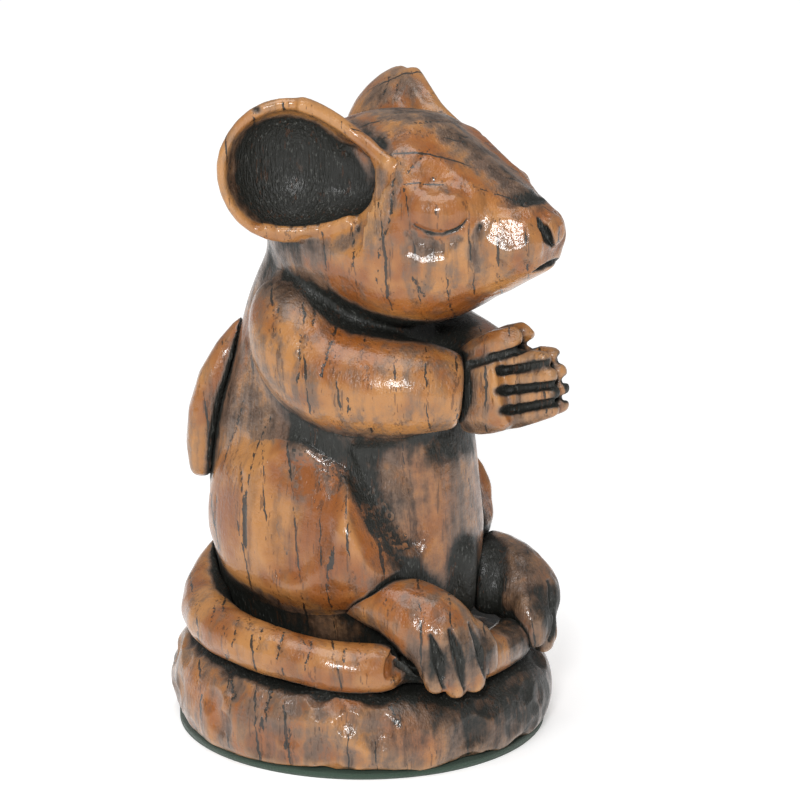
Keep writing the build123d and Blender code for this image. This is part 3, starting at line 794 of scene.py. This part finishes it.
class Shader:
    """A material's nodes, added one by one."""

    def __init__(self, name):
        self.material = bpy.data.materials.new(name)
        self.material.use_nodes = True
        self.tree = self.material.node_tree
        self.surface = self.tree.nodes["Principled BSDF"]

    def put(self, socket, value):
        """Links or sets a socket."""
        if isinstance(value, bpy.types.NodeSocket):
            self.tree.links.new(value, socket)
        elif isinstance(value, tuple) and len(value) == 3 and socket.type == "RGBA":
            socket.default_value = (*value, 1)
        else:
            socket.default_value = value

    def node(self, kind, inputs=(), output=0, **settings):
        """Adds a node, with its settings and inputs by place or name, and gives its output."""
        node = self.tree.nodes.new("ShaderNode" + kind)
        for key, value in settings.items():
            setattr(node, key, value)
        for key, value in dict(inputs).items():
            self.put(node.inputs[key], value)
        return node.outputs[output]

    def math(self, operation, a, b=0.0, clamp=False):
        """Two numbers joined by a sum, product or test."""
        return self.node("Math", {0: a, 1: b}, operation=operation, use_clamp=clamp)

    def total(self, first, *others):
        """Numbers added up."""
        for other in others:
            first = self.math("ADD", first, other)
        return first

    def vector_math(self, operation, a, b, output=0):
        """Two places or directions joined."""
        return self.node("VectorMath", {0: a, 1: b}, output, operation=operation)

    def noise(self, vector, scale, detail=2.0, roughness=0.5):
        """A number that wanders over the surface, about 0.5."""
        return self.node("TexNoise", {
            "Vector": vector, "Scale": scale, "Detail": detail, "Roughness": roughness})

    def drift(self, place, scale, detail, reach):
        """A push that wanders in its direction, about as far as this."""
        push = self.node("TexNoise", {"Vector": place, "Scale": scale, "Detail": detail}, 1)
        push = self.vector_math("SUBTRACT", push, (0.5, 0.5, 0.5))
        return self.node("VectorMath", {0: push, "Scale": reach}, operation="SCALE")

    def step(self, value, low, high, first=0.0, last=1.0):
        """A smooth rise from the first value at low to the last at high."""
        return self.node("MapRange", {
            "Value": value, "From Min": low, "From Max": high, "To Min": first, "To Max": last,
        }, interpolation_type="SMOOTHSTEP")

    def mix(self, share, a, b):
        """Two colours mixed."""
        return self.node("Mix", {0: share, 6: a, 7: b}, output=2, data_type="RGBA")

    def choose(self, share, a, b):
        """Two numbers mixed."""
        return self.node("Mix", {0: share, 2: a, 3: b}, data_type="FLOAT")

    def stretched(self, vector, scale):
        """Places scaled, so that a pattern there is longer where the scale is under 1."""
        return self.node("Mapping", {"Vector": vector, "Scale": scale})

    def attribute(self, name):
        """A number kept at the vertices."""
        return self.node("Attribute", output=2, attribute_name=name)


PER_MM = 1000
HONEY = (0.60, 0.31, 0.12)
CARAMEL = (0.45, 0.200, 0.058)
RUSSET = (0.27, 0.085, 0.018)
AMBER = (0.34, 0.098, 0.010)
UMBER = (0.075, 0.032, 0.014)
# A grey haze of dusty wax, partly a painted sheen of the wax catching the light.
FILM_AND_SHEEN = (0.150, 0.108, 0.080)
PATINA = (0.016, 0.017, 0.014)
# Painted glints: pale specks over the darkest wax.
PAINTED_GLINT = (0.17, 0.175, 0.16)
BAIZE_DARK, BAIZE_PALE = (0.022, 0.050, 0.032), (0.060, 0.100, 0.070)
# The yearly rings: how far apart they stand, and the ways they face down the sides and over the crown.
RING_GAP = 3.8 * MM
SIDE_SHEETS = (0.545, -0.839, 0.10)
TOP_SHEETS = (0.70, 0.45, 0.55)
CROWN_BOTTOM = 66 * MM


def broken_lines(s, place, facing, dash):
    """Cracks where sheets that face this way cut the surface, and how far each place is from one.

    Noise breaks them up: none where the dash is low, and wider the higher it is.
    """
    across = s.vector_math("DOT_PRODUCT", place, facing, output=1)
    ring = s.math("FRACT", s.math("DIVIDE", across, RING_GAP))
    off = s.math("MULTIPLY", s.math("ABSOLUTE", s.math("SUBTRACT", ring, 0.5)), RING_GAP)
    width = s.step(dash, 0.45, 0.62, -0.05 * MM, 0.17 * MM)
    return s.math("GREATER_THAN", s.math("SUBTRACT", width, off), 0.0), off


def find_cracks(s, place, warped):
    """The cracks along the rings, upright down the sides and across the crown, and the fine pores."""
    dash = s.noise(s.stretched(place, (1, 1, 0.16)), 0.38 * PER_MM, 4.0, 0.72)
    side, side_off = broken_lines(s, warped, SIDE_SHEETS, dash)
    along = s.vector_math("DOT_PRODUCT", place, SIDE_SHEETS, output=1)
    into = s.vector_math("DOT_PRODUCT", place, TOP_SHEETS, output=1)
    lengthwise = s.node("CombineXYZ", {0: s.math("MULTIPLY", along, 0.22), 1: into})
    patch = s.noise(lengthwise, 0.6 * PER_MM, 4.0, 0.7)
    top, top_off = broken_lines(s, warped, TOP_SHEETS, patch)
    up = s.node("SeparateXYZ", {0: s.node("TexCoord", output=1)}, output=2)
    high = s.node("SeparateXYZ", {0: place}, output=2)
    on_crown = s.math("GREATER_THAN", high, CROWN_BOTTOM)
    on_top = s.math("MULTIPLY", s.math("GREATER_THAN", up, 0.5), on_crown)
    # The carved cracks have ragged edges.
    ragged = s.noise(s.stretched(place, (1, 1, 0.45)), 2.4 * PER_MM, 3.0, 0.65)
    opened = s.math("ADD", s.math("MULTIPLY", s.attribute("split"), 0.55), ragged)
    crack = s.math("MAXIMUM", s.choose(on_top, side, top), s.math("GREATER_THAN", opened, 1.0))
    # Pores crowd near the cracks.
    crowd = s.step(s.choose(on_top, side_off, top_off), 0.2 * MM, 1.5 * MM, 0.60, 0.74)
    pore_noise = s.noise(s.stretched(place, (1, 1, 0.12)), 2.6 * PER_MM, 2.0, 0.5)
    return crack, s.math("GREATER_THAN", pore_noise, crowd)


def make_oak():
    """Waxed oak with its grain upright, with old dark wax in its recesses, and with painted shade,
    highlights, sheen and glints.
    """
    s = Shader("waxed oak")
    place = s.node("TexCoord", output=3)
    nook, hollow, glow = s.attribute("nook"), s.attribute("hollow"), s.attribute("glow")
    warped = s.vector_math("ADD", s.drift(place, 0.05 * PER_MM, 1.0, 4.0 * MM), place)
    warped = s.vector_math("ADD", warped, s.drift(place, 0.7 * PER_MM, 2.0, 0.7 * MM))
    crack, pore = find_cracks(s, place, warped)
    streaks = s.noise(s.stretched(warped, (1, 1, 0.10)), 0.55 * PER_MM, 4.0, 0.6)
    clouds = s.noise(place, 0.10 * PER_MM, 3.0, 0.55)
    mottle = s.noise(place, 0.45 * PER_MM, 4.0, 0.65)
    scratch = s.noise(s.stretched(place, (1, 1, 0.08)), 3.0 * PER_MM, 2.0, 0.7)
    glint = s.noise(s.stretched(place, (1, 1, 0.35)), 2.8 * PER_MM, 3.0, 0.6)
    # How thick the old wax lies, with the painted shade and highlights rubbed in along lines.
    depth = s.total(
        s.step(hollow, 0.08, 0.60), s.step(nook, 0.10, 0.60, 0.0, 0.7), s.attribute("ink"),
        s.step(mottle, 0.3, 0.7, -0.14, 0.14), s.step(streaks, 0.3, 0.7, -0.16, 0.16))
    dark = s.step(depth, 0.10, 0.95)
    # Colour: each coat's share, and its colour, over the one before.
    amber = s.math("MULTIPLY", glow, s.step(mottle, 0.3, 0.6, 0.5, 1.0), clamp=True)
    film_and_sheen = s.math("MULTIPLY", s.step(depth, 0.0, 0.50, 0.0, 0.85), s.step(glow, 0.0, 1.0, 1.0, 0.35))
    worn = s.math("MULTIPLY", s.step(nook, 0.02, -0.40, 0.0, 0.45), s.math("SUBTRACT", 1.0, dark))
    colour = s.mix(s.step(clouds, 0.40, 0.62), CARAMEL, RUSSET)
    for share, coat in (
        (amber, AMBER),
        (s.step(streaks, 0.44, 0.74, 0.0, 0.55), UMBER),
        # Grey haze of dusty wax, partly painted sheen.
        (film_and_sheen, FILM_AND_SHEEN),
        (s.step(depth, 0.25, 0.75, 0.0, 0.7), UMBER),
        (s.step(depth, 0.45, 0.95), PATINA),
        (worn, HONEY),
        (s.math("MULTIPLY", crack, 0.93), PATINA),
        (s.math("MULTIPLY", pore, 0.55), UMBER),
        # Painted glints in the darkest wax.
        (s.math("MULTIPLY", s.step(glint, 0.58, 0.68), s.step(depth, 0.8, 1.4, 0.0, 0.5)), PAINTED_GLINT),
    ):
        colour = s.mix(share, colour, coat)
    s.put(s.surface.inputs["Base Color"], colour)
    # Gloss: the old wax is duller than the polished wood.
    dull = s.math("MULTIPLY", dark, 0.16)
    rough = s.math("ADD", s.step(mottle, 0.3, 0.7, 0.26, 0.40), dull, clamp=True)
    s.put(s.surface.inputs["Roughness"], rough)
    s.put(s.surface.inputs["Coat Weight"], s.step(depth, 0.50, 1.0, 0.6, 0.1))
    s.surface.inputs["Specular IOR Level"].default_value = 0.4
    s.surface.inputs["Coat Roughness"].default_value = 0.12
    # Relief: cracks and pores cut in, with dents, scratches and tool marks all over.
    height = s.total(
        s.math("MULTIPLY", crack, -0.20), s.math("MULTIPLY", pore, -0.05),
        s.math("MULTIPLY", mottle, 0.22),
        s.math("MULTIPLY", scratch, s.step(depth, 0.0, 0.8, 0.05, 0.22)),
        s.math("MULTIPLY", s.noise(place, 2.2 * PER_MM, 3.0, 0.6), 0.07))
    for socket, strength in (("Normal", 1.0), ("Coat Normal", 0.3)):
        relief = s.node("Bump", {"Height": height, "Distance": 1.0 * MM, "Strength": strength})
        s.put(s.surface.inputs[socket], relief)
    return s.material


def make_baize():
    """Matt green felt."""
    s = Shader("green baize")
    place = s.node("TexCoord", output=3)
    nap = s.noise(place, 5.0 * PER_MM, 3.0, 0.7)
    s.put(s.surface.inputs["Base Color"], s.mix(nap, BAIZE_DARK, BAIZE_PALE))
    s.surface.inputs["Roughness"].default_value = 0.95
    s.surface.inputs["Sheen Weight"].default_value = 0.3
    s.put(s.surface.inputs["Normal"], s.node("Bump", {"Height": nap, "Distance": 0.15 * MM}))
    return s.material


def finish_piece(piece, material, slot, *nodes):
    """Dresses a piece, and hangs it on the figurine in place of its nodes."""
    piece.data.materials.clear()
    piece.data.materials.append(material)
    piece.data.shade_smooth()
    if "flow" in piece.data.attributes:
        keep_flow(piece)
    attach(piece, "root")
    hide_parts(*nodes)


PLINTH_GLOWS = (
    ([(190, 680), (215, 715)], 5.0), ([(330, 690), (350, 705)], 4.0), ([(400, 735), (430, 745)], 4.5),
    ([(260, 740), (290, 750)], 3.5), ([(480, 700), (495, 715)], 3.5),
)


def make_plinth():
    """The plinth, gouged all round, with painted shade on its side turned from the light and on its top
    under the belly, and amber in places.
    """
    plinth = make_piece("plinth")
    wobble(plinth, size=8 * MM, amount=0.7 * MM)
    gouge(plinth, seed=5, count=320, bite=0.65 * MM, radius=5 * MM)
    settle(plinth, 2)
    tree = tree_of(plinth.data)
    # Painted shade on the side turned from the light, and on the top under the belly.
    rub(plinth, tree, [(430, 690), (500, 700), (545, 690)], 12 * MM, 0.6, both=False)
    rub(plinth, tree, [(470, 600), (484, 612), (500, 620)], 5 * MM, 1.0, both=False)
    for pixels, width in PLINTH_GLOWS:
        rub(plinth, tree, pixels, width * MM, 0.9, both=False, layer="glow")
    split(plinth, tree, PLINTH_CRACKS, both=False, width=1.3)
    return plinth


def make_tail():
    """The tail, cut down short of the near foot, where it goes on behind the foot."""
    tail = make_piece("tail")
    wobble(tail, size=7 * MM, amount=0.4 * MM)
    gouge(tail, seed=6, count=120, bite=0.10 * MM, radius=7 * MM)
    tree = tree_of(tail.data)
    # The tail is cut down where it passes behind the foot, and the cut darkened almost black as a
    # painted shadow.
    carve(tail, tree, [(418, 630), (416, 655), (418, 690)], 5.5 * MM, 1.0 * MM, both=False)
    carve(tail, tree, [(416, 630), (414, 655), (416, 690)], 3.2 * MM, 1.4 * MM, 0.95,
          both=False, soft=0.45)
    smooth_inked(tail, 40)
    shave(tail, tree, (386, 656), (0.25, -0.85, 0.1), 0.4 * MM, 3.5 * MM, both=False)
    # Painted shade on the tail beyond the foot, under the belly.
    rub(tail, tree, [(480, 605), (500, 615), (520, 640), (535, 665)], 6 * MM, 0.8, both=False)
    split(tail, tree, TAIL_CRACKS, both=False)
    settle(tail, 3)
    return tail


FINGER_GROOVES = (
    [(498, 371), (525, 367), (551, 363)], [(498, 391), (528, 388), (555, 385)],
    [(502, 411), (530, 407), (556, 402)], [(471, 364), (495, 357), (512, 352), (530, 349)],
)
TOE_GROOVES = (
    [(430, 636), (439, 662), (445, 690)], [(450, 630), (459, 660), (466, 691)],
    [(470, 624), (480, 650), (487, 680)],
)


def make_hand():
    """The right hand, its back and thumb planed and its fingers cut apart down to the knuckles."""
    hand = make_piece("right_hand")
    tree = tree_of(hand.data)
    shave(hand, tree, (482, 398), None, 0.25 * MM, 5 * MM, both=False)
    shave(hand, tree, (508, 338), (-0.65, -0.35, 0.65), 0.35 * MM, 4 * MM, both=False)
    for groove in FINGER_GROOVES:
        carve(hand, tree, groove, 0.85 * MM, 0.5 * MM, 0.85, both=False, soft=0.8)
    # The joints of the fingers, their tips, the heel of the hand and the knuckles.
    for x in (516, 533):
        carve(hand, tree, [(x, 354), (x + 2, 385), (x + 4, 418)], 0.35 * MM, 0.12 * MM, 0.12, both=False)
    rub(hand, tree, [(553, 350), (559, 372), (560, 400)], 2.2 * MM, 0.9, both=False)
    rub(hand, tree, [(470, 430), (510, 432), (545, 418)], 2.0 * MM, 0.3, both=False)
    carve(hand, tree, [(494, 372), (496, 398), (504, 424)], 0.8 * MM, -0.2 * MM, -0.2, both=False)
    settle(hand, 3)
    return hand


def make_foot():
    """The right foot, its toes cut apart and a painted highlight on its heel."""
    foot = make_piece("right_foot")
    wobble(foot, size=5 * MM, amount=0.4 * MM)
    gouge(foot, seed=7, count=90, bite=0.10 * MM, radius=6 * MM)
    tree = tree_of(foot.data)
    for groove in TOE_GROOVES:
        carve(foot, tree, groove, 0.95 * MM, 0.75 * MM, 0.6, both=False, soft=0.7, taper=True)
    rub(foot, tree, [(425, 665), (450, 660), (485, 650)], 5 * MM, 0.6, both=False)
    rub(foot, tree, [(385, 605), (430, 625)], 5 * MM, 0.6, both=False, layer="glow")
    # A painted highlight on the heel.
    rub(foot, tree, [(355, 597), (375, 600)], 2.5 * MM, -0.4, both=False)
    settle(foot, 3)
    return foot


def make_wing():
    """The right wing, with a few shallow cuts."""
    wing = make_piece("right_wing")
    gouge(wing, seed=8, count=50, bite=0.12 * MM, radius=8 * MM)
    return wing


def mirrored(piece, name):
    """The same piece on the other side of the mouse."""
    twin = bpy.data.objects.new(name, piece.data.copy())
    bpy.context.scene.collection.objects.link(twin)
    place_points(twin.data, points_of(twin.data) * MIRROR)
    twin.data.flip_normals()
    return twin


def bulge_far_foot(foot):
    """Swells the far foot's heel toward the belly, and darkens it with painted shade on the side turned
    from the light.
    """
    tree = tree_of(foot.data)
    carve(foot, tree, [(486, 556), (484, 580), (486, 602)], 2.8 * MM, -1.8 * MM, 0.8, both=False)
    rub(foot, tree, [(510, 560), (550, 620)], 8 * MM, 0.4, both=False)


# How much darker each kind of piece is all over.
BASE_INK = {"torso": 0.26, "head": 0.08, "arm": 0.18, "haunch": 0.0, "hand": 0.24, "foot": 0.18,
            "wing": 0.10, "tail": 0.0, "plinth": 0.30}


def make_pieces():
    """All the pieces, carved, stained and hung on the figurine."""
    carvings = split_by_node(make_body(), FUSED)
    carvings["plinth"] = make_plinth()
    carvings["tail"] = make_tail()
    for name, piece in (("hand", make_hand()), ("foot", make_foot()), ("wing", make_wing())):
        carvings["right_" + name] = piece
        carvings["left_" + name] = mirrored(piece, "left_" + name + "_piece")
    bulge_far_foot(carvings["left_foot"])
    mark_recesses(carvings.values())
    oak = make_oak()
    for name, piece in carvings.items():
        ink = values_of(piece.data, "ink") + BASE_INK[name.split("_")[-1]]
        keep_values(piece.data, "ink", ink)
        finish_piece(piece, oak, "waxed_oak", *FUSED.get(name, (name,)))
    pad = copy_of_nodes("baize_disc", ["baize_pad"])
    finish_piece(pad, make_baize(), "baize", "baize_pad")


# The lamps: name, place and size in metres, and power in watts.
LAMPS = (("sky", (-0.6, 0.0, 3.0), 2.2, 48.0), ("window", (-0.86, -0.40, 0.50), 0.16, 5.0))
FLOOR_SIZE = 4
PAPER, PAPER_GLOW = 0.90, 0.36
# The white of the air round the figurine, as it lights and as the camera sees it.
AIR_LIGHT, AIR_SEEN = 0.30, 1.0


def add_light(name, place, size, power):
    """A soft square lamp that faces the figurine."""
    place = Vector(place)
    bpy.ops.object.light_add(type="AREA", location=place)
    lamp = bpy.context.object
    lamp.name = name
    lamp.data.size = size
    lamp.data.energy = power
    lamp.rotation_euler = (place - CAMERA_TARGET).to_track_quat("Z", "Y").to_euler()


def make_studio():
    """White paper under the figurine and white air round it, lit from above and from the left."""
    bpy.ops.object.select_all(action="DESELECT")
    bpy.ops.mesh.primitive_plane_add(size=FLOOR_SIZE)
    floor = bpy.context.object
    floor.name = "floor"
    s = Shader("white paper")
    s.surface.inputs["Base Color"].default_value = (PAPER, PAPER, PAPER, 1)
    s.surface.inputs["Specular IOR Level"].default_value = 0.0
    s.surface.inputs["Roughness"].default_value = 1.0
    s.surface.inputs["Emission Color"].default_value = (1, 1, 1, 1)
    s.surface.inputs["Emission Strength"].default_value = PAPER_GLOW
    floor.data.materials.append(s.material)
    world = bpy.data.worlds.new("studio")
    bpy.context.scene.world = world
    world.use_nodes = True
    tree = world.node_tree
    ground = tree.nodes["Background"]
    ground.inputs["Color"].default_value = (1, 1, 1, 1)
    seen = tree.nodes.new("ShaderNodeLightPath")
    level = tree.nodes.new("ShaderNodeMapRange")
    level.inputs["To Min"].default_value = AIR_LIGHT
    level.inputs["To Max"].default_value = AIR_SEEN
    tree.links.new(seen.outputs["Is Camera Ray"], level.inputs["Value"])
    tree.links.new(level.outputs["Result"], ground.inputs["Strength"])
    for lamp in LAMPS:
        add_light(*lamp)
    bpy.context.scene.view_settings.view_transform = "Standard"


make_pieces()
make_camera()
make_studio()
